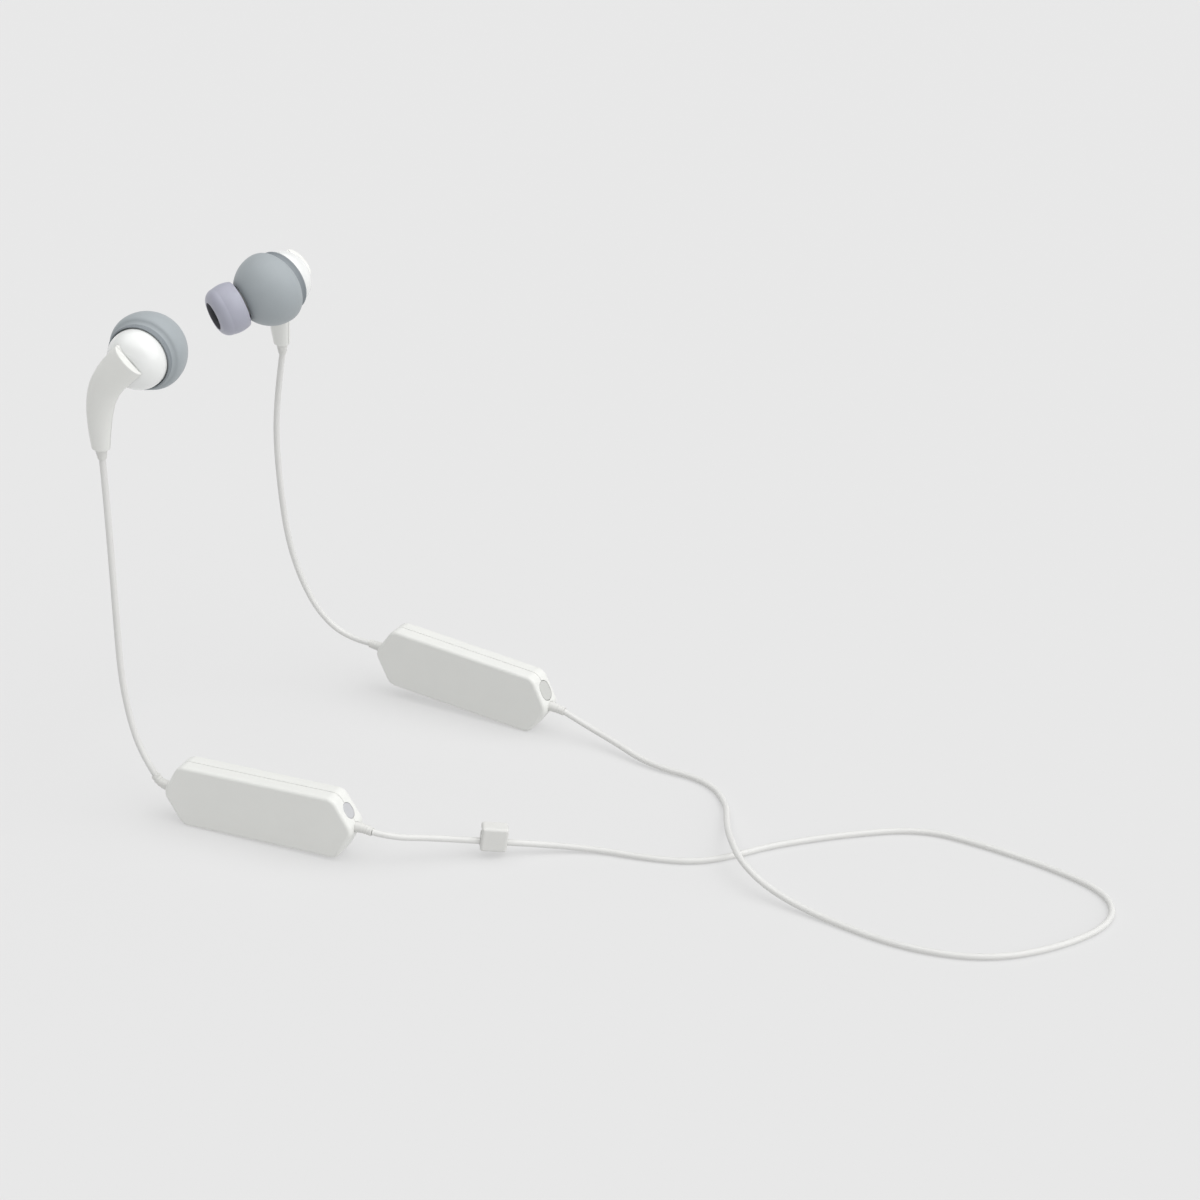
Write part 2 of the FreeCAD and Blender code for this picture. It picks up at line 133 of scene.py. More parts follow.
def axes(x, y, z, middle=(0, 0, 0)):
    """Matrix with these columns for its axes."""
    turn = Matrix((Vector(x).normalized(), Vector(y).normalized(), Vector(z).normalized()))
    return Matrix.Translation(middle) @ turn.transposed().to_4x4()


def nozzle_axes():
    """Turns the bud's own axis into the sound nozzle's."""
    return (Matrix.Rotation(math.radians(-NOZZLE_DROP), 4, "Y")
            @ Matrix.Rotation(math.radians(NOZZLE_TILT), 4, "Z"))


def facet_axes(sizes):
    """The module's sloping upper rear end: x down the slope, y across, z outwards."""
    half_h = sizes.height / MM / 2
    shoulder = sizes.shoulder / MM
    out = Vector((half_h, 0, shoulder)).normalized()
    across = Vector((0, 1, 0))
    middle = (sizes.length / MM / 2 - shoulder / 2, 0, half_h / 2)
    return axes(across.cross(out), across, out, middle)


# ---- outlines --------------------------------------------------------------------------------
def arc_points(start, via, end, count):
    """Points after start on the arc through via to end."""
    ax, ay, bx, by, cx, cy = *start, *via, *end
    d = 2 * (ax * (by - cy) + bx * (cy - ay) + cx * (ay - by))
    sa, sb, sc = ax * ax + ay * ay, bx * bx + by * by, cx * cx + cy * cy
    middle = Vector(((sa * (by - cy) + sb * (cy - ay) + sc * (ay - by)) / d,
                     (sa * (cx - bx) + sb * (ax - cx) + sc * (bx - ax)) / d))
    first = math.atan2(ay - middle.y, ax - middle.x)
    via_turn = (math.atan2(by - middle.y, bx - middle.x) - first) % math.tau
    turn = (math.atan2(cy - middle.y, cx - middle.x) - first) % math.tau
    if via_turn > turn:
        turn -= math.tau
    radius = (Vector(start) - middle).length
    return [middle + radius * Vector((math.cos(first + turn * i / count),
                                      math.sin(first + turn * i / count)))
            for i in range(1, count + 1)]


def outline(steps, count=14):
    """(radius, height) points; a step ('arc', via, end) bends through via."""
    points = [Vector(steps[0])]
    for step in steps[1:]:
        if step[0] == "arc":
            points += arc_points(points[-1], step[1], step[2], count)
        else:
            points.append(Vector(step))
    return points


def softened(points, radius, closed=True, steps=4, sharpest=28):
    """The outline with every sharp corner rounded."""
    result = []
    for i, here in enumerate(points):
        if not closed and i in (0, len(points) - 1):
            result.append(here)
            continue
        before, after = points[i - 1], points[(i + 1) % len(points)]
        into, out = here - before, after - here
        if min(into.length, out.length) < 1e-6:
            result.append(here)
            continue
        turn = into.angle(out)
        if turn < math.radians(sharpest):
            result.append(here)
            continue
        reach = min(radius * math.tan(turn / 2), 0.45 * min(into.length, out.length))
        start, end = here - into.normalized() * reach, here + out.normalized() * reach
        for k in range(steps + 1):
            t = k / steps
            result.append(start * (1 - t) ** 2 + here * 2 * t * (1 - t) + end * t * t)
    return result


# ---- meshes ----------------------------------------------------------------------------------
def bridge(mesh, first, second):
    """Faces between two rings, either of which may be one point."""
    count = max(len(first), len(second))
    for i in range(count):
        j = (i + 1) % count
        corners = [first[i % len(first)], first[j % len(first)],
                   second[j % len(second)], second[i % len(second)]]
        kept = [v for n, v in enumerate(corners) if v not in corners[:n]]
        if len(kept) > 2:
            mesh.faces.new(kept)


def lofted(rings, ends=True):
    """Closed skin over rings of points with the same count."""
    mesh = bmesh.new()
    made = [[mesh.verts.new(p) for p in ring] for ring in rings]
    for first, second in zip(made, made[1:]):
        bridge(mesh, first, second)
    if ends:
        for ring in (made[0], made[-1]):
            if len(ring) > 2:
                mesh.faces.new(ring)
    else:
        bridge(mesh, made[-1], made[0])
    bmesh.ops.recalc_face_normals(mesh, faces=mesh.faces)
    return mesh


def turned(points, around=112, closed=True):
    """Surface of revolution about +Y from (radius, height) points."""
    rings = []
    for radius, height in points:
        if radius < 1e-5:
            rings.append([(0, height, 0)])
        else:
            rings.append([(radius * math.cos(math.tau * i / around), height,
                           radius * math.sin(math.tau * i / around)) for i in range(around)])
    return lofted(rings, ends=not closed)


def rod(start, end, radius, around=64):
    """Round bar between two points, as a cutter."""
    start, end = Vector(start), Vector(end)
    side = (end - start).orthogonal().normalized()
    other = (end - start).normalized().cross(side)
    rings = [[p + radius * (side * math.cos(math.tau * i / around)
                            + other * math.sin(math.tau * i / around)) for i in range(around)]
             for p in (start, end)]
    return lofted(rings)


def slot_bar(length, width, low, high, rounding=0.0, around=20):
    """Round-ended bar standing along Z, its top edge rounded."""
    layers = [(0.0, low), (0.0, high)]
    if rounding:
        layers = [(0.0, low)] + [(rounding * (1 - math.cos(math.radians(a))),
                                  high - rounding + rounding * math.sin(math.radians(a)))
                                 for a in range(0, 91, 15)]
    rings = []
    for inset, height in layers:
        radius = width / 2 - inset
        half = length / 2 - width / 2
        ring = []
        for end in (1, -1):
            for i in range(around + 1):
                angle = math.pi * i / around - math.pi / 2
                ring.append((end * (half + radius * math.cos(angle)),
                             end * radius * math.sin(angle), height))
        rings.append(ring)
    return lofted(rings)


def rounded_block(size, middle, radius, steps=5):
    """Box with every edge rounded."""
    mesh = bmesh.new()
    bmesh.ops.create_cube(mesh, size=1.0)
    mesh.transform(Matrix.Translation(middle) @ Matrix.Diagonal((*size, 1)))
    bmesh.ops.bevel(mesh, geom=mesh.edges[:] + mesh.verts[:], offset=radius, segments=steps,
                    profile=0.5, affect="EDGES")
    return mesh


def temporary(mesh):
    """Puts a mesh in the scene for the booleans in cut()."""
    data = bpy.data.meshes.new("work")
    mesh.to_mesh(data)
    mesh.free()
    piece = bpy.data.objects.new("work", data)
    bpy.context.scene.collection.objects.link(piece)
    return piece


def cut(mesh, tools):
    """The closed mesh less each of the tools."""
    work = [temporary(mesh)] + [temporary(tool) for tool in tools]
    for tool in work[1:]:
        change = work[0].modifiers.new("cut", "BOOLEAN")
        change.operation = "DIFFERENCE"
        change.solver = "EXACT"
        change.object = tool
    bpy.context.view_layer.update()
    shaped = work[0].evaluated_get(bpy.context.evaluated_depsgraph_get())
    result = bmesh.new()
    result.from_mesh(shaped.to_mesh())
    shaped.to_mesh_clear()
    for piece in work:
        data = piece.data
        bpy.data.objects.remove(piece)
        bpy.data.meshes.remove(data)
    return result


def half_of(mesh, point, normal):
    """The part of a closed mesh on the side that normal points to, closed at the cut."""
    half = mesh.copy()
    bmesh.ops.bisect_plane(half, geom=half.verts[:] + half.edges[:] + half.faces[:],
                           plane_co=point, plane_no=normal, clear_inner=True)
    open_edges = [e for e in half.edges if e.is_boundary]
    bmesh.ops.holes_fill(half, edges=open_edges, sides=0)
    bmesh.ops.recalc_face_normals(half, faces=half.faces)
    return half


def joined(meshes):
    """Several closed meshes as one."""
    result = meshes[0]
    for mesh in meshes[1:]:
        data = bpy.data.meshes.new("work")
        mesh.to_mesh(data)
        mesh.free()
        result.from_mesh(data)
        bpy.data.meshes.remove(data)
    return result


def spline_points(points, count):
    """Evenly numbered points on a smooth line through the given ones."""
    points = [Vector(p) for p in points]
    ends = [points[0] * 2 - points[1]] + points + [points[-1] * 2 - points[-2]]
    result = []
    for i in range(1, len(ends) - 2):
        a, b, c, d = ends[i - 1:i + 3]
        for k in range(count):
            t = k / count
            result.append(0.5 * (2 * b + (c - a) * t + (2 * a - 5 * b + 4 * c - d) * t * t
                                 + (3 * b - a - 3 * c + d) * t ** 3))
    return result + [points[-1]]


def swept(line, radii, around=40):
    """Round skin along a line of points, with a radius at each."""
    line = [Vector(p) for p in line]
    side = None
    rings = []
    for i, (point, radius) in enumerate(zip(line, radii)):
        along = (line[min(i + 1, len(line) - 1)] - line[max(i - 1, 0)]).normalized()
        side = along.orthogonal() if side is None else side - along * side.dot(along)
        side.normalize()
        other = along.cross(side)
        rings.append([point + radius * (side * math.cos(math.tau * k / around)
                                        + other * math.sin(math.tau * k / around))
                      for k in range(around)])
    return lofted(rings)


def add_piece(name, mesh, place, material, like, replaced=(), bevel=0.0, angle=40):
    """A piece in the scene that rides with the CAD node it is like."""
    mesh.transform(place)
    bmesh.ops.recalc_face_normals(mesh, faces=mesh.faces)
    data = bpy.data.meshes.new(name)
    mesh.to_mesh(data)
    mesh.free()
    data.shade_smooth()
    piece = bpy.data.objects.new(name, data)
    bpy.context.scene.collection.objects.link(piece)
    if bevel:
        edge = piece.modifiers.new("soft edges", "BEVEL")
        edge.width = bevel * MM
        edge.segments = 3
        edge.limit_method = "ANGLE"
        edge.angle_limit = math.radians(angle)
    else:
        data.set_sharp_from_angle(angle=math.radians(angle))
    even = piece.modifiers.new("even shading", "WEIGHTED_NORMAL")
    even.keep_sharp = True
    data.materials.append(material)
    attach(piece, frame["nodes"][like]["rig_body"])
    if replaced:
        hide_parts(*replaced)
    return piece


# ---- finishes --------------------------------------------------------------------------------
FINISHES = {}


def finish(name, colour, roughness, grain=2600.0, depth=0.00002, mottle=0.025, spread=0.05,
           slow=140.0, pattern="noise", **sockets):
    """Moulded or woven surface: fine grain, slow colour mottling and uneven gloss."""
    if name in FINISHES:
        return FINISHES[name]
    material = FINISHES[name] = bpy.data.materials.new(name)
    material.use_nodes = True
    nodes, links = material.node_tree.nodes, material.node_tree.links
    shader = nodes["Principled BSDF"]
    coords = nodes.new("ShaderNodeTexCoord")
    cloud = nodes.new("ShaderNodeTexNoise")
    cloud.inputs["Scale"].default_value = slow
    cloud.inputs["Detail"].default_value = 4.0
    links.new(coords.outputs["Object"], cloud.inputs["Vector"])
    mix = nodes.new("ShaderNodeMix")
    mix.data_type = "RGBA"
    mix.inputs["A"].default_value = (*(c * (1 - mottle) for c in colour), 1)
    mix.inputs["B"].default_value = (*(min(1, c * (1 + mottle)) for c in colour), 1)
    links.new(cloud.outputs["Fac"], mix.inputs["Factor"])
    links.new(mix.outputs["Result"], shader.inputs["Base Color"])
    gloss = nodes.new("ShaderNodeMapRange")
    gloss.inputs["To Min"].default_value = max(0.02, roughness - spread)
    gloss.inputs["To Max"].default_value = min(1.0, roughness + spread)
    smear = nodes.new("ShaderNodeTexNoise")
    smear.inputs["Scale"].default_value = slow * 2.3
    smear.inputs["Detail"].default_value = 5.0
    links.new(coords.outputs["Object"], smear.inputs["Vector"])
    links.new(smear.outputs["Fac"], gloss.inputs["Value"])
    links.new(gloss.outputs["Result"], shader.inputs["Roughness"])
    if pattern == "cells":
        fine = nodes.new("ShaderNodeTexVoronoi")
        height = fine.outputs["Distance"]
    elif pattern == "brushed":
        fine = nodes.new("ShaderNodeTexWave")
        fine.inputs["Distortion"].default_value = 2.0
        height = fine.outputs["Fac"]
    else:
        fine = nodes.new("ShaderNodeTexNoise")
        fine.inputs["Detail"].default_value = 3.0
        height = fine.outputs["Fac"]
    fine.inputs["Scale"].default_value = grain
    links.new(coords.outputs["Object"], fine.inputs["Vector"])
    bump = nodes.new("ShaderNodeBump")
    bump.inputs["Strength"].default_value = 0.6
    bump.inputs["Distance"].default_value = depth
    links.new(height, bump.inputs["Height"])
    links.new(bump.outputs["Normal"], shader.inputs["Normal"])
    for socket, value in sockets.items():
        shader.inputs[socket.replace("_", " ")].default_value = value
    return material


def shell_finish(colours):
    return finish("satin_shell", colours.shell, 0.46, grain=3200.0, depth=0.000012)


def cap_finish(colours):
    return finish("gloss_cap", colours.cap, 0.2, grain=1500.0, depth=0.000004, mottle=0.01,
                  Coat_Weight=0.35, Coat_Roughness=0.08)


def enhancer_finish(colours):
    return finish("matt_silicone", colours.enhancer, 0.58, grain=2400.0, depth=0.00003,
                  mottle=0.05, Sheen_Weight=0.12, Sheen_Roughness=0.5)


def tip_finish(colours):
    return finish("tip_silicone", colours.tip, 0.42, grain=2600.0, depth=0.00002, mottle=0.04,
                  Subsurface_Weight=0.25, Subsurface_Radius=(0.0012, 0.001, 0.0012),
                  Subsurface_Scale=1.0)


def cord_finish(colours):
    return finish("cord_jacket", colours.cord, 0.5, grain=3000.0, depth=0.00002, mottle=0.03)


def boot_finish(colours):
    return finish("soft_boot", colours.boot, 0.55, grain=2800.0, depth=0.00002)


def keeper_finish(colours):
    return finish("keeper_rubber", colours.keeper, 0.55, grain=2200.0, depth=0.00003)


def button_finish(colours):
    return finish("button_cap", colours.button, 0.36, grain=2000.0, depth=0.00001)


def mesh_finish():
    return finish("dark_mesh", (0.018, 0.018, 0.022), 0.5, grain=4200.0, depth=0.00003,
                  pattern="cells", Metallic=0.25)


def second_finish(mesh, material, chosen):
    """Marks the chosen faces for a second material, which the caller adds to the piece."""
    for face in mesh.faces:
        if chosen(face.calc_center_median()):
            face.material_index = 1
    return material


def hidden_finishes(colours):
    """Material of each CAD node that shows as it is."""
    steel = finish("steel_pin", (0.62, 0.62, 0.62), 0.3, grain=1800.0, depth=0.00001,
                   pattern="brushed", Metallic=1.0)
    nickel = finish("nickel_plate", (0.5, 0.5, 0.52), 0.22, grain=900.0, depth=0.000006,
                    Metallic=1.0)
    film = finish("speaker_film", (0.75, 0.73, 0.66), 0.3, grain=1200.0, depth=0.00001)
    basket = finish("driver_basket", (0.05, 0.05, 0.055), 0.5)
    rubber = finish("seal_rubber", (0.33, 0.33, 0.33), 0.7)
    foil = finish("battery_foil", (0.7, 0.71, 0.73), 0.28, grain=500.0, depth=0.00006,
                  Metallic=0.9)
    board = finish("circuit_board", (0.03, 0.16, 0.08), 0.4, grain=900.0, depth=0.00002,
                   pattern="cells", mottle=0.2)
    port = finish("port_metal", (0.55, 0.55, 0.57), 0.3, grain=1600.0, depth=0.00001,
                  pattern="brushed", Metallic=1.0)
    mat = finish("button_mat", (0.2, 0.2, 0.21), 0.7)
    both = {"pivot_pin": steel, "driver_magnet": nickel, "diaphragm": film,
            "driver_basket": basket, "housing": shell_finish(colours), "seal": rubber}
    found = {side + "_" + piece: material for side in ("left", "right")
             for piece, material in both.items()}
    found.update({"left_battery": foil, "left_charge_board": board, "right_main_board": board,
                  "right_charge_socket": port, "right_button_mat": mat,
                  "right_microphone": basket})
    return found


# ---- settings --------------------------------------------------------------------------------
def length_setting(name, description, value):
    return FloatProperty(name=name, description=description, default=value, min=0.0, precision=5,
                         unit="LENGTH", subtype="DISTANCE")


def colour_setting(name, description, value):
    return FloatVectorProperty(name=name, description=description, default=value, size=3,
                               min=0.0, max=1.0, subtype="COLOR")


class EarbudSizes(bpy.types.PropertyGroup):
    ball: length_setting("Ball", "Radius of the silicone ball", 0.0093)
    wall: length_setting("Wall", "Thickness of the silicone over the housing", 0.00125)
    body: length_setting("Body", "Radius of the bare housing and cap", 0.0072)
    groove: length_setting("Groove", "How far the collar sits below the ball", 0.0007)
    tip: length_setting("Ear tip", "Widest radius of the ear tip", 0.0064)
    nozzle: length_setting("Nozzle", "Radius of the sound nozzle", 0.003)


class ModuleSizes(bpy.types.PropertyGroup):
    length: length_setting("Length", "Module from point to point", 0.053)
    height: length_setting("Height", "Module from edge to edge", 0.0166)
    thickness: length_setting("Thickness", "Module across both shells", 0.007)
    shoulder: length_setting("Shoulder", "Run of each sloping end", 0.005)
    wall: length_setting("Wall", "Shell wall", 0.0012)
    corner: length_setting("Corner", "Radius of the six corners", 0.0032)
    edge: length_setting("Edge", "Radius round each face", 0.0009)
    button: length_setting("Button", "Button radius", 0.0029)
    button_step: length_setting("Button step", "Distance between buttons", 0.009)


class CordSizes(bpy.types.PropertyGroup):
    diameter: length_setting("Diameter", "Cord across its jacket", 0.0016)
    roundness: IntProperty(name="Roundness", description="Bevel steps round the cord", default=8,
                           min=2, max=32)
    boot: length_setting("Boot", "Radius of the rubber boots", 0.00125)


class EarphoneColours(bpy.types.PropertyGroup):
    shell: colour_setting("Shell", "Module and stem mouldings", (0.74, 0.745, 0.72))
    cap: colour_setting("Cap", "Gloss rear caps", (0.785, 0.795, 0.785))
    enhancer: colour_setting("Enhancer", "Silicone over the earbuds", (0.335, 0.367, 0.385))
    # The collar colour is a darker copy of the silicone: painted shade for the groove behind the
    # ball.
    collar: colour_setting("Collar", "Rear collar of the silicone", (0.225, 0.25, 0.268))
    tip: colour_setting("Ear tip", "Silicone ear tips", (0.38, 0.385, 0.45))
    cord: colour_setting("Cord", "Cord jacket", (0.68, 0.68, 0.665))
    boot: colour_setting("Boot", "Cord boots", (0.66, 0.66, 0.64))
    keeper: colour_setting("Keeper", "Sliding cord keeper", (0.655, 0.655, 0.635))
    flap: colour_setting("Flap", "Charge port flap", (0.53, 0.535, 0.515))
    lens: colour_setting("Lens", "Status light window", (0.5, 0.505, 0.52))
    button: colour_setting("Button", "Button caps", (0.7, 0.705, 0.69))


class StudioSettings(bpy.types.PropertyGroup):
    floor: colour_setting("Floor", "Colour of the floor", (0.3, 0.3, 0.3))
    overhead: FloatProperty(name="Overhead", description="Brightness of the sky above",
                            default=1.6, min=0.0)
    middle: FloatProperty(name="Sides", description="Brightness of the sky's sides",
                          default=0.3, min=0.0)
    glow: FloatProperty(name="Glow", description="Light that the floor itself gives off",
                        default=0.44, min=0.0)
    key: FloatProperty(name="Key", description="Strength of the wide lamp behind the loop",
                       default=1.5, min=0.0)
    lens: FloatProperty(name="Lens", description="Camera focal length in millimetres",
                        default=80.0, min=1.0, subtype="DISTANCE_CAMERA")


def settings():
    return bpy.context.scene.earphones


# ---- camera, cords ---------------------------------------------------------------------------
class EARPHONES_OT_camera(bpy.types.Operator):
    """Camera in front of the left earbud, looking down at the assembly"""

    bl_idname = "earphones.camera"
    bl_label = "Camera"

    def execute(self, context):
        data = bpy.data.cameras.new("camera")
        data.lens = settings().studio.lens
        data.sensor_width = 36.0
        data.clip_start = 0.01
        camera = bpy.data.objects.new("camera", data)
        camera.matrix_world = axes((0.90631, 0.42262, 0.0), (-0.18526, 0.39730, 0.89879),
                                   (0.37985, -0.81458, 0.43837), (0.3387, -0.507, 0.219))
        context.scene.collection.objects.link(camera)
        context.scene.camera = camera
        return {"FINISHED"}


def add_cord(name, route, node):
    sizes = settings().cords
    curve = bpy.data.curves.new(name, "CURVE")
    curve.dimensions = "3D"
    curve.resolution_u = 16
    curve.bevel_depth = sizes.diameter / 2
    curve.bevel_resolution = sizes.roundness
    curve.use_fill_caps = True
    spline = curve.splines.new("NURBS")
    spline.points.add(len(route) - 1)
    for point, place in zip(spline.points, route):
        point.co = (*(Vector(place) * MM), 1)
    spline.order_u = 3
    spline.use_endpoint_u = True
    curve.materials.append(cord_finish(settings().colours))
    cord = bpy.data.objects.new(name, curve)
    bpy.context.scene.collection.objects.link(cord)
    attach(cord, "root")
    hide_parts(node)
    return cord


class EARPHONES_OT_cords(bpy.types.Operator):
    """The two ear cords and the neck cord"""

    bl_idname = "earphones.cords"
    bl_label = "Cords"

    def execute(self, context):
        add_cord("left_ear_cord_jacket", LEFT_EAR_ROUTE, "left_ear_cord")
        add_cord("right_ear_cord_jacket", RIGHT_EAR_ROUTE, "right_ear_cord")
        add_cord("neck_cord_jacket", NECK_ROUTE, "neck_cord")
        return {"FINISHED"}


# ---- earbuds ---------------------------------------------------------------------------------
def cap_outline(body, grow=0.0):
    """Outside of the domed rear cap, from its rim to its flat end."""
    return outline([(body + grow, PARTING_Y), (body + grow, RIM_Y),
                    ("arc", (6.1 + 0.8 * grow, -8.5 - 0.6 * grow), (3.2, CAP_END_Y - grow))], 28)


class EARPHONES_OT_rear_caps(bpy.types.Operator):
    """Domed gloss caps at the back of the earbuds"""

    bl_idname = "earphones.rear_caps"
    bl_label = "Rear caps"

    def execute(self, context):
        body = settings().earbud.body / MM
        for side, place in bud_places():
            outside = cap_outline(body)
            outside[0].y += 0.05
            inside = outline([(1.55, CAP_END_Y), (1.55, CAP_END_Y + 1.2), (3.0, CAP_END_Y + 1.2),
                              ("arc", (5.1, -7.7), (body - 1.2, RIM_Y)),
                              (body - 1.2, PARTING_Y + 0.05)])
            mesh = turned(softened(outside + inside, 0.2), around=144)
            add_piece(side + "_cap_dome", mesh, place, cap_finish(settings().colours),
                      side + "_rear_cap", [side + "_rear_cap"])
        return {"FINISHED"}


def stem_places():
    """Side and place of each stem; the right one is the left one mirrored."""
    return (("left", placed(*LEFT_BUD)), ("right", placed(*RIGHT_BUD, mirrored=True)))


def bud_places():
    """As stem_places(), with the left bud turned on its stem."""
    turn = Matrix.Rotation(math.radians(LEFT_TURN), 4, "Y")
    return (("left", placed(*LEFT_BUD) @ turn), ("right", placed(*RIGHT_BUD, mirrored=True)))


class EARPHONES_OT_enhancers(bpy.types.Operator):
    """Silicone balls over the housings, with a grooved collar at the rear rim whose darker colour
    is painted shade for the groove
    """

    bl_idname = "earphones.enhancers"
    bl_label = "Enhancers"

    def execute(self, context):
        sizes = settings().earbud
        ball, inner, body = sizes.ball / MM, (sizes.ball - sizes.wall) / MM, sizes.body / MM
        neck = body + 1.15 - sizes.groove / MM
        nozzle = nozzle_axes() @ Vector((0, 1, 0))
        for side, place in bud_places():
            shape = outline([(0, ball - 0.2), ("arc", (ball * 0.78, ball * 0.6), (ball, 0)),
                             ("arc", (ball - 0.06, -0.9), (ball - 0.3, -1.7)),
                             ("arc", (8.72, -2.1), (8.35, -2.35)),
                             ("arc", (8.0, -2.65), (neck, -3.2)),
                             ("arc", (neck + 0.02, -3.7), (neck + 0.2, -4.2)),
                             ("arc", (neck + 0.2, -4.6), (neck - 0.05, -4.8))], 18)
            shape += outline([(body + 0.3, -4.75), (body + 0.22, -4.3), (body + 0.05, -4.2),
                              (body + 0.05, -math.sqrt(inner ** 2 - (body + 0.05) ** 2)),
                              ("arc", (math.sqrt(inner ** 2 - 4), -2), (inner, 0)),
                              ("arc", (inner * 0.8, inner * 0.6), (0, inner))])
            mesh = turned(softened(shape, 0.12, closed=False), around=160)
            mesh = cut(mesh, [rod(nozzle * 4, nozzle * 12, 4.5, 96)])
            # Faces behind the collar height take a darker colour: painted shade for the groove
            # between ball and cap.
            collar = second_finish(mesh, finish("collar_painted_shade", settings().colours.collar, 0.6,
                                                grain=2400.0, depth=0.00003, mottle=0.05),
                                   lambda middle: middle.y < COLLAR_SHADE_Y)
            piece = add_piece(side + "_enhancer_skin", mesh, place,
                              enhancer_finish(settings().colours), side + "_enhancer",
                              [side + "_enhancer"], bevel=0.15, angle=50)
            piece.data.materials.append(collar)
        return {"FINISHED"}


class EARPHONES_OT_ear_tips(bpy.types.Operator):
    """Soft mushroom tips and the dark mesh across each nozzle"""

    bl_idname = "earphones.ear_tips"
    bl_label = "Ear tips"

    def execute(self, context):
        sizes = settings().earbud
        nozzle = sizes.nozzle / MM
        wide = sizes.tip / MM
        for side, place in bud_places():
            shape = outline([(nozzle + 0.05, 8.6), (nozzle + 0.05, 14.7), (3.65, 15.9),
                             ("arc", (5.35, 15.1), (6.15, 13.2)), ("arc", (wide, 11.4), (5.9, 8.6)),
                             (5.2, 8.6), ("arc", (5.55, 11.4), (4.6, 13.6)), (3.95, 13.6),
                             (3.95, 8.6)], 20)
            mesh = turned(softened(shape, 0.3), around=144)
            # The tip's inner bore wall is painted near-black: painted shade for the deep opening in
            # front of the screen.
            bore = second_finish(mesh, finish("bore_painted_shade", (0.06, 0.06, 0.07), 0.55),
                                 lambda middle: math.hypot(middle.x, middle.z) < nozzle + 0.5
                                 and middle.y < 15.75)
            piece = add_piece(side + "_tip_skin", mesh, place @ nozzle_axes(),
                              tip_finish(settings().colours), side + "_ear_tip",
                              [side + "_ear_tip"])
            piece.data.materials.append(bore)
            add_piece(side + "_nozzle_screen", screen(nozzle), place @ nozzle_axes(),
                      mesh_finish(), side + "_nozzle_mesh", [side + "_nozzle_mesh"])
        return {"FINISHED"}


def screen(nozzle):
    """Ringed disc with a slight dome and rows of holes across the end of the nozzle."""
    edge, back = nozzle - 0.02, MESH_BACK_Y
    disc = turned(outline([(0, back + 0.35), ("arc", (1.6, back + 0.28), (2.7, back + 0.15)),
                           (edge, back + 0.1), (edge, back), (2.6, back), (0, back)], 8),
                  around=72, closed=False)
    holes = []
    for row in range(-4, 5):
        for step in range(-4, 5):
            x, z = 0.56 * (step + row / 2), 0.48 * row
            if math.hypot(x, z) < 2.35:
                holes.append(rod((x, back - 0.2, z), (x, back + 0.6, z), 0.17, 10))
    return cut(disc, [joined(holes)])


def dome_height(body, radius):
    """Where the stem's inner side meets the cap, 0.2 above the cap's surface."""
    points = cap_outline(body, 0.2)
    if radius <= points[-1].x:
        return points[-1].y
    for first, second in zip(points[1:], points[2:]):
        if second.x <= radius <= first.x:
            t = (first.x - radius) / max(1e-9, first.x - second.x)
            return first.y + (second.y - first.y) * t
    return None


class EARPHONES_OT_stems(bpy.types.Operator):
    """Two-part stems that hold the earbuds and lead the cords down"""

    bl_idname = "earphones.stems"
    bl_label = "Stems"

    def execute(self, context):
        body = settings().earbud.body / MM
        lean = Matrix.Rotation(math.radians(STEM_LEAN), 3, "X")
        normal = lean @ Vector((0, 1, 0))
        middle = Vector((0, -10.35, 1.0))
        for side, place in stem_places():
            whole = self.whole(body)
            for half, way, node in (("outer", -1, "stem_outer"), ("inner", 1, "stem_inner")):
                mesh = half_of(whole, middle + normal * way * SEAM, normal * way)
                add_piece("%s_stem_%s_shell" % (side, half), mesh, place,
                          shell_finish(settings().colours), "%s_%s" % (side, node),
                          ["%s_%s" % (side, node)], bevel=0.14, angle=45)
            whole.free()
        return {"FINISHED"}

    def whole(self, body):
        """Loft of oval sections, hollowed where the cap's dome turns against it."""
        count = 16
        middles = spline_points([row[0] for row in STEM], count)
        sizes = spline_points([(row[1], row[2], 0) for row in STEM], count)
        rings = []
        last = len(middles) - 1
        ends = [(STEM_END_ROUND * (1 - math.cos(math.radians(a))),
                 STEM_END_ROUND * (math.sin(math.radians(a)) - 1))
                for a in (0, 22.5, 45, 67.5, 90)]
        for i, (middle, size) in enumerate(zip(middles, sizes)):
            along = (middles[min(i + 1, last)] - middles[max(i - 1, 0)]).normalized()
            across = along.cross(Vector((0, 1, 0))).normalized()
            thick = along.cross(across).normalized()
            layers = [(0.0, 0.0)]
            if i in (0, last):
                way = -1 if i == 0 else 1
                layers = [(inset, way * shift) for inset, shift in ends]
                if i == 0:
                    layers.reverse()
            elif i in (1, last - 1):
                continue
            for inset, shift in layers:
                ring = []
                for k in range(96):
                    angle = math.tau * k / 96
                    point = (middle + along * shift
                             + across * (size.x / 2 - inset) * math.cos(angle)
                             + thick * (size.y / 2 - inset) * math.sin(angle))
                    radius = math.hypot(point.x, point.z)
                    meets = dome_height(body, radius)
                    if meets is not None and point.y > meets:
                        point.y = meets
                    ring.append(point)
                rings.append(ring)
        return lofted(rings)


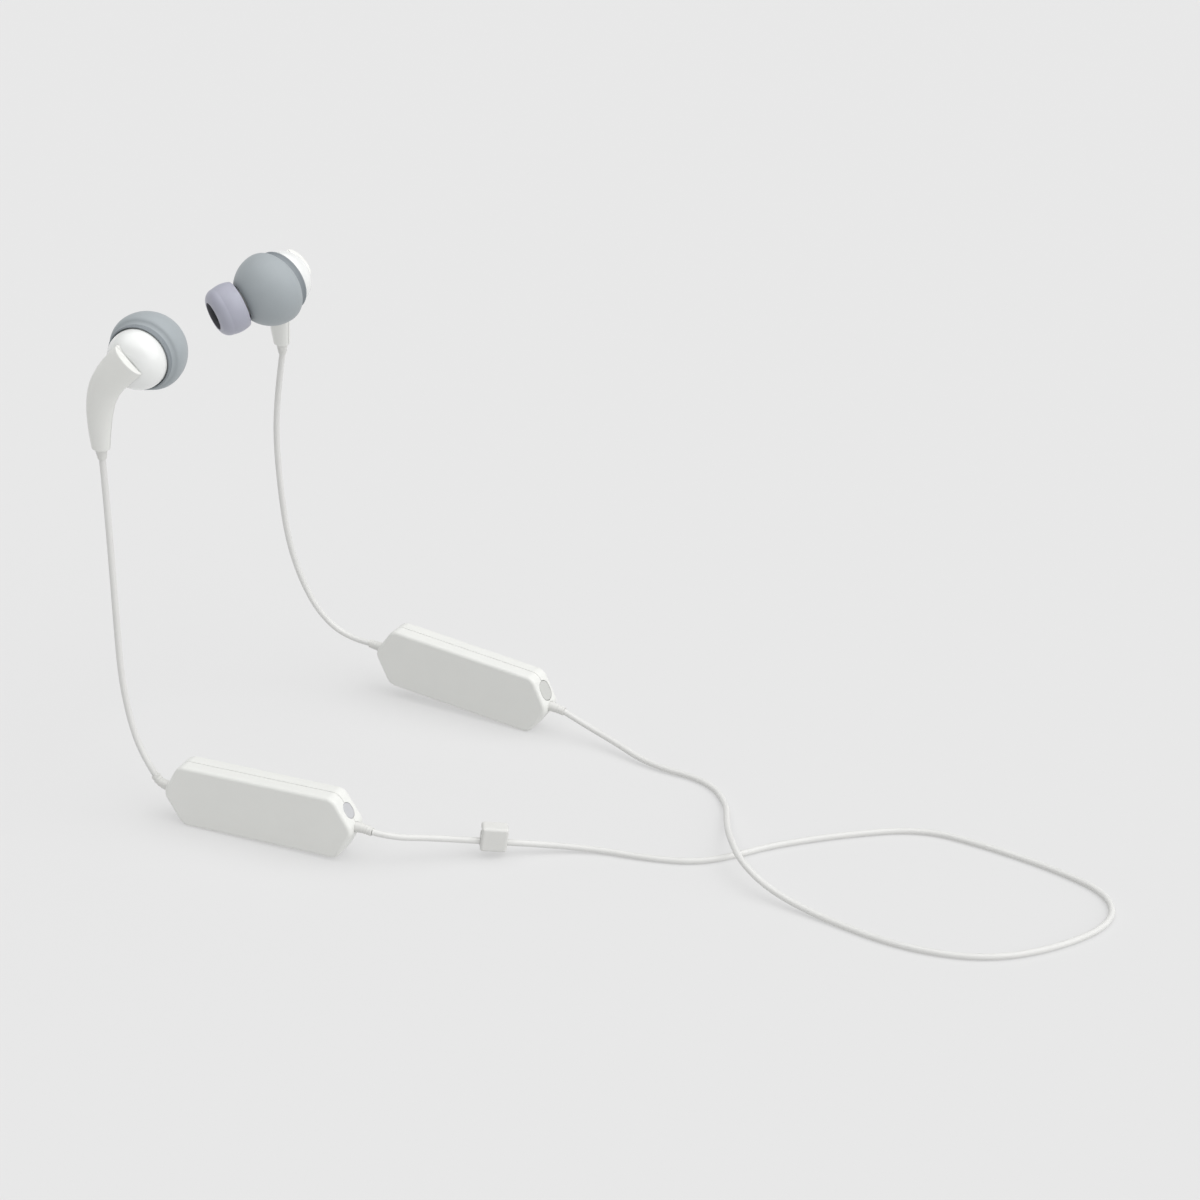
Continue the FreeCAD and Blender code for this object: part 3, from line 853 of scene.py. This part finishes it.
class EARPHONES_OT_strain_reliefs(bpy.types.Operator):
    """Tapered ends of the stems round the cords"""

    bl_idname = "earphones.strain_reliefs"
    bl_label = "Strain reliefs"

    def execute(self, context):
        for (side, place), route in zip(stem_places(), (LEFT_EAR_ROUTE, RIGHT_EAR_ROUTE)):
            start = (place @ Vector(STEM[-1][0])) / MM
            end = Vector(route[0])
            line, radii = [], []
            for k in range(25):
                t = k / 24
                line.append(start.lerp(end, t))
                ring = 0.07 if k in (8, 9, 13, 14, 18, 19) else 0.0
                radii.append(1.5 - 0.45 * t - ring)
            line.append(line[-1] + (end - start).normalized() * 0.05)
            radii.append(0.9)
            add_piece(side + "_strain_relief_cone", swept(line, radii),
                      Matrix.Diagonal((MM, MM, MM, 1)), boot_finish(settings().colours),
                      side + "_strain_relief", [side + "_strain_relief"])
        return {"FINISHED"}


# ---- modules ---------------------------------------------------------------------------------
def module_ring(sizes, inset, height, steps=8):
    """The module's rounded six-sided outline, inset all round, at one height."""
    half_h, shoulder = sizes.height / MM / 2, sizes.shoulder / MM
    slope = math.hypot(shoulder, half_h)
    tip = sizes.length / MM / 2 - inset * slope / half_h
    top = half_h - inset
    flat = tip - shoulder / half_h * top
    corners = [Vector(p) for p in ((tip, 0), (flat, top), (-flat, top), (-tip, 0),
                                   (-flat, -top), (flat, -top))]
    radius = max(sizes.corner / MM - inset, 0.3)
    ring = []
    for i, here in enumerate(corners):
        into = (here - corners[i - 1]).normalized()
        out = (corners[(i + 1) % 6] - here).normalized()
        turn = into.angle(out)
        start = here - into * radius * math.tan(turn / 2)
        centre = start + Vector((-into.y, into.x)) * radius
        first = math.atan2(start.y - centre.y, start.x - centre.x)
        for k in range(steps + 1):
            angle = first + turn * k / steps
            ring.append((centre.x + radius * math.cos(angle), height,
                         centre.y + radius * math.sin(angle)))
    return ring


def module_half(sizes, way):
    """One hollow shell half, on the +Y or -Y side, with its groove for the seal."""
    half_t, edge, wall = sizes.thickness / MM / 2, sizes.edge / MM, sizes.wall / MM
    layers = [(edge * (1 - math.sin(math.radians(a))), half_t - edge + edge
               * math.cos(math.radians(a))) for a in range(0, 91, 10)]
    layers += [(0, 0.16), (0.03, 0.09), (0.09, SEAM), (0.34, SEAM), (0.34, 0.41), (0.86, 0.41),
               (0.86, SEAM), (wall, SEAM), (wall, half_t - wall)]
    return lofted([module_ring(sizes, inset, way * height) for inset, height in layers])


def facet_bar(sizes, length, width, low, high, up=0.0):
    """Cutter standing on the sloping rear end, moved up the slope."""
    bar = slot_bar(length, width, low, high)
    bar.transform(facet_axes(sizes) @ Matrix.Translation((-up, 0, 0)))
    return bar


class EARPHONES_OT_left_module(bpy.types.Operator):
    """Battery module: two shells and the status light"""

    bl_idname = "earphones.left_module"
    bl_label = "Left module"

    def execute(self, context):
        sizes, colours = settings().module, settings().colours
        place = placed(*LEFT_MODULE)
        for name, way in (("left", -1), ("right", 1)):
            tools = [facet_bar(sizes, 4.26, 3.46, -3, 2)]
            tools += [rod((x, 0, 0), (x * 1.2, 0, 0), 1.38) for x in (23.0, -23.0)]
            mesh = cut(module_half(sizes, way), tools)
            add_piece("left_module_%s_half" % name, mesh, place, shell_finish(colours),
                      "left_shell_" + name, ["left_shell_" + name], bevel=0.1,
                      angle=50)
        lens = slot_bar(4.2, 3.4, -1.3, 0.03, 0.3)
        glass = finish("status_lens", colours.lens, 0.25, grain=1500.0, depth=0.000005,
                       mottle=0.05, Coat_Weight=0.3, Coat_Roughness=0.1)
        add_piece("status_light_lens", lens, place @ facet_axes(sizes), glass,
                  "left_status_light", ["left_status_light"])
        return {"FINISHED"}


class EARPHONES_OT_right_module(bpy.types.Operator):
    """Control module: two shells and the flap over the charge port"""

    bl_idname = "earphones.right_module"
    bl_label = "Right module"

    def execute(self, context):
        sizes, colours = settings().module, settings().colours
        place = placed(*RIGHT_MODULE)
        step, button = sizes.button_step / MM, sizes.button / MM
        for name, way in (("left", -1), ("right", 1)):
            tools = [facet_bar(sizes, 5.64, 4.44, -0.85, 2), facet_bar(sizes, 3.4, 1.9, -4, 1, 1.0)]
            tools += [rod((x, 0, 0), (x * 1.2, 0, 0), 1.38) for x in (23.0, -23.0)]
            if way > 0:
                tools += [rod((x, 1.5, 0), (x, 6, 0), button + 0.12) for x in (-step, 0, step)]
                tools.append(rod((-16, 1.5, 0), (-16, 6, 0), 0.4))
            mesh = cut(module_half(sizes, way), tools)
            add_piece("right_module_%s_half" % name, mesh, place, shell_finish(colours),
                      "right_shell_" + name, ["right_shell_" + name], bevel=0.1,
                      angle=50)
        flap = slot_bar(5.4, 4.2, -0.8, 0.05, 0.25)
        rubber = finish("flap_rubber", colours.flap, 0.5, grain=2400.0, depth=0.00002)
        add_piece("port_flap_cover", flap, place @ facet_axes(sizes), rubber, "right_port_flap",
                  ["right_port_flap"])
        return {"FINISHED"}


class EARPHONES_OT_buttons(bpy.types.Operator):
    """Volume and play buttons with raised marks"""

    bl_idname = "earphones.buttons"
    bl_label = "Buttons"

    def execute(self, context):
        sizes, colours = settings().module, settings().colours
        place = placed(*RIGHT_MODULE)
        step, radius = sizes.button_step / MM, sizes.button / MM
        bar, post = (1.9, 0.16, 0.34), (0.34, 0.16, 1.9)
        marks = {"volume_up": [bar, post], "play": [], "volume_down": [bar]}
        for (name, bars), x in zip(marks.items(), (-step, 0, step)):
            shape = outline([(0, 1.7), (radius + 0.6, 1.7), (radius + 0.6, 2.2), (radius, 2.2),
                             (radius, 3.78), (2.0, 3.78), (1.2, 3.72), (0, 3.7)])
            meshes = [turned(softened(shape, 0.22, closed=False), around=96, closed=False)]
            meshes += [rounded_block(size, (0, 3.77, 0), 0.06, 3) for size in bars]
            if name == "play":
                meshes.append(turned(softened(outline([(0.75, 3.6), (1.05, 3.6), (1.05, 3.85),
                                                       (0.75, 3.85)]), 0.06), around=64))
            mesh = joined(meshes)
            add_piece(name + "_cap", mesh, place @ Matrix.Translation((x, 0, 0)),
                      button_finish(colours), "right_%s_button" % name,
                      ["right_%s_button" % name])
        return {"FINISHED"}


class EARPHONES_OT_boots(bpy.types.Operator):
    """Bent rubber boots where the cords enter the modules"""

    bl_idname = "earphones.boots"
    bl_label = "Boots"

    def execute(self, context):
        radius = settings().cords.boot / MM
        for side, module, front, rear in (
                ("left", LEFT_MODULE, LEFT_EAR_ROUTE[-1], NECK_ROUTE[0]),
                ("right", RIGHT_MODULE, RIGHT_EAR_ROUTE[-1], NECK_ROUTE[-1])):
            place = placed(*module)
            for end, goal, way in (("front", front, -1), ("rear", rear, 1)):
                goal = place.inverted() @ (Vector(goal) * MM)
                out = Vector((way, 0, 0))
                start = out * MODULE_END_X
                chord = goal - start
                bend = start + out * (chord.length / 2 / math.cos(out.angle(chord)))
                line = [out * 23.0, out * 23.8, out * 23.82, out * 25.2]
                radii = [1.95, 1.95, radius + 0.1, radius + 0.1]
                for k in range(21):
                    t = k / 20
                    line.append(start * (1 - t) ** 2 + bend * 2 * t * (1 - t) + goal * t * t)
                    ring = 0.09 if k in (8, 9, 12, 13, 16, 17) else 0.0
                    radii.append(radius - 0.12 * t - ring)
                line.append(goal + (goal - bend).normalized() * 0.06)
                radii.append(0.95)
                add_piece("%s_%s_boot_tail" % (side, end), swept(line, radii), place,
                          boot_finish(settings().colours), "%s_%s_boot" % (side, end),
                          ["%s_%s_boot" % (side, end)])
        return {"FINISHED"}


class EARPHONES_OT_keeper(bpy.types.Operator):
    """Sliding cord keeper with a slotted second channel"""

    bl_idname = "earphones.keeper"
    bl_label = "Cord keeper"

    def execute(self, context):
        along = Vector(KEEPER_ALONG)
        across = Vector((0, 0, 1)).cross(along)
        place = Matrix.Diagonal((MM, MM, MM, 1)) @ axes(along, across, along.cross(across),
                                                        KEEPER_MIDDLE)
        block = rounded_block((6.5, 4.2, 6.4), (0, 0, 1.3), 0.7, 6)
        slot = rounded_block((10, 4, 1.1), (0, 2, 2.5), 0.02, 1)
        mesh = cut(block, [rod((-5, 0, 0), (5, 0, 0), 0.9, 48),
                           rod((-5, 0, 2.5), (5, 0, 2.5), 0.85, 48), slot])
        add_piece("keeper_block", mesh, place, keeper_finish(settings().colours), "cord_keeper",
                  ["cord_keeper"], bevel=0.1, angle=50)
        return {"FINISHED"}


class EARPHONES_OT_inner_parts(bpy.types.Operator):
    """Finishes of the assembled parts that keep their own shape"""

    bl_idname = "earphones.inner_parts"
    bl_label = "Inner parts"

    def execute(self, context):
        for node, material in hidden_finishes(settings().colours).items():
            data = frame["nodes"][node].data
            data.materials.clear()
            data.materials.append(material)
        return {"FINISHED"}


# ---- studio ----------------------------------------------------------------------------------
class EARPHONES_OT_studio(bpy.types.Operator):
    """Plain pale floor and soft light from above"""

    bl_idname = "earphones.studio"
    bl_label = "Studio"

    def execute(self, context):
        studio = settings().studio
        mesh = bmesh.new()
        bmesh.ops.create_grid(mesh, x_segments=40, y_segments=40, size=12.0)
        mesh.transform(Matrix.Translation((0, 0, RESTING_Z * MM)))
        data = bpy.data.meshes.new("floor")
        mesh.to_mesh(data)
        mesh.free()
        floor = bpy.data.objects.new("floor", data)
        data.materials.append(finish("pale_floor", studio.floor, 0.9, grain=400.0,
                                     depth=0.000002, mottle=0.004, Specular_IOR_Level=0.1,
                                     Emission_Color=(1, 1, 1, 1),
                                     Emission_Strength=studio.glow))
        context.scene.collection.objects.link(floor)
        self.sky(context, studio)
        self.lamp(context, "key", (0.8, 0.0, 0.65), studio.key, 1.2)
        context.scene.view_settings.view_transform = "Standard"
        context.scene.view_settings.look = "None"
        return {"FINISHED"}

    def sky(self, context, studio):
        """Pale below the horizon, dimmer at the sides and brightest overhead."""
        world = bpy.data.worlds.new("studio")
        world.use_nodes = True
        nodes, links = world.node_tree.nodes, world.node_tree.links
        coords = nodes.new("ShaderNodeTexCoord")
        split = nodes.new("ShaderNodeSeparateXYZ")
        ramp = nodes.new("ShaderNodeValToRGB")
        links.new(coords.outputs["Generated"], split.inputs["Vector"])
        links.new(split.outputs["Z"], ramp.inputs["Fac"])
        links.new(ramp.outputs["Color"], nodes["Background"].inputs["Color"])
        peak = studio.overhead
        below = 0.807
        steps = ((0.0, below), (0.16, below), (0.3, studio.middle), (0.62, studio.middle),
                 (0.86, peak), (1.0, peak))
        while len(ramp.color_ramp.elements) < len(steps):
            ramp.color_ramp.elements.new(1.0)
        for element, (place, value) in zip(ramp.color_ramp.elements, steps):
            element.position = place
            element.color = (value / peak, value / peak, value / peak, 1)
        nodes["Background"].inputs["Strength"].default_value = peak
        context.scene.world = world

    def lamp(self, context, name, towards, strength, spread):
        """Wide distant lamp that shines from the direction towards."""
        data = bpy.data.lights.new(name, "SUN")
        data.energy = strength
        data.angle = spread
        lamp = bpy.data.objects.new(name, data)
        lamp.rotation_euler = Vector(towards).to_track_quat("Z", "Y").to_euler()
        context.scene.collection.objects.link(lamp)


# ---- add-on ----------------------------------------------------------------------------------
class EarphoneSettings(bpy.types.PropertyGroup):
    earbud: PointerProperty(name="Earbuds", type=EarbudSizes)
    module: PointerProperty(name="Modules", type=ModuleSizes)
    cords: PointerProperty(name="Cords", type=CordSizes)
    colours: PointerProperty(name="Colours", type=EarphoneColours)
    studio: PointerProperty(name="Studio", type=StudioSettings)


GROUPS = (EarbudSizes, ModuleSizes, CordSizes, EarphoneColours, StudioSettings, EarphoneSettings)
STEPS = (EARPHONES_OT_camera, EARPHONES_OT_cords, EARPHONES_OT_rear_caps,
         EARPHONES_OT_enhancers, EARPHONES_OT_ear_tips, EARPHONES_OT_stems,
         EARPHONES_OT_strain_reliefs, EARPHONES_OT_left_module, EARPHONES_OT_right_module,
         EARPHONES_OT_buttons, EARPHONES_OT_boots, EARPHONES_OT_keeper,
         EARPHONES_OT_inner_parts, EARPHONES_OT_studio)


class EARPHONES_PT_panel(bpy.types.Panel):
    """Sizes, colours and steps of the earphones"""

    bl_label = "Neckband earphones"
    bl_idname = "EARPHONES_PT_panel"
    bl_space_type = "VIEW_3D"
    bl_region_type = "UI"
    bl_category = "Earphones"

    def draw(self, context):
        chosen = context.scene.earphones
        for group in (chosen.earbud, chosen.module, chosen.cords, chosen.colours, chosen.studio):
            box = self.layout.box()
            for name in group.__annotations__:
                box.prop(group, name)
        for step in STEPS:
            self.layout.operator(step.bl_idname)


def register():
    for one in (*GROUPS, *STEPS, EARPHONES_PT_panel):
        bpy.utils.register_class(one)
    bpy.types.Scene.earphones = PointerProperty(type=EarphoneSettings)


def unregister():
    del bpy.types.Scene.earphones
    for one in reversed((*GROUPS, *STEPS, EARPHONES_PT_panel)):
        bpy.utils.unregister_class(one)


def main():
    register()
    for step in STEPS:
        group, name = step.bl_idname.split(".")
        getattr(getattr(bpy.ops, group), name)()
    bpy.context.view_layer.update()


if __name__ == "__main__":
    main()
